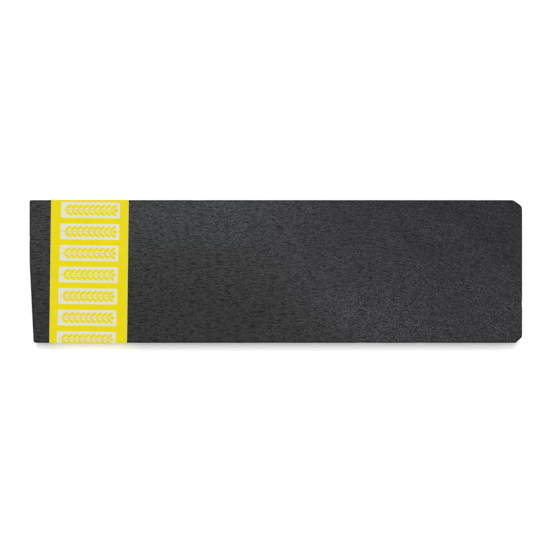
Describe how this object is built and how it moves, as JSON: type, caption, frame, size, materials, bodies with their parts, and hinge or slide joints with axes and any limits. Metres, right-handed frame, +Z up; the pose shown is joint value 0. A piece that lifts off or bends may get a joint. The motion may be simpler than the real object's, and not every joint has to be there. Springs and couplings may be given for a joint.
{
  "type": "charcoal stick",
  "caption": "Broad flat stick of wood charcoal for drawing, with a printed paper band glued round one end.",
  "frame": {"origin": "middle of the underside of the whole object, on the surface that it lies on", "axes": "+X along the stick from the banded end to the drawing end, +Y across the stick, +Z up out of the upper face"},
  "size_m": [0.1722, 0.0502, 0.0129],
  "materials": {
    "charcoal": "matt carbonised wood, faint sheen along the grain",
    "band_paper": "uncoated paper printed yellow",
    "glue": "dried paste"
  },
  "bodies": {
    "root": {"charcoal_stick": "charcoal", "label_band": "band_paper", "label_glue": "glue"}
  },
  "joints": []
}
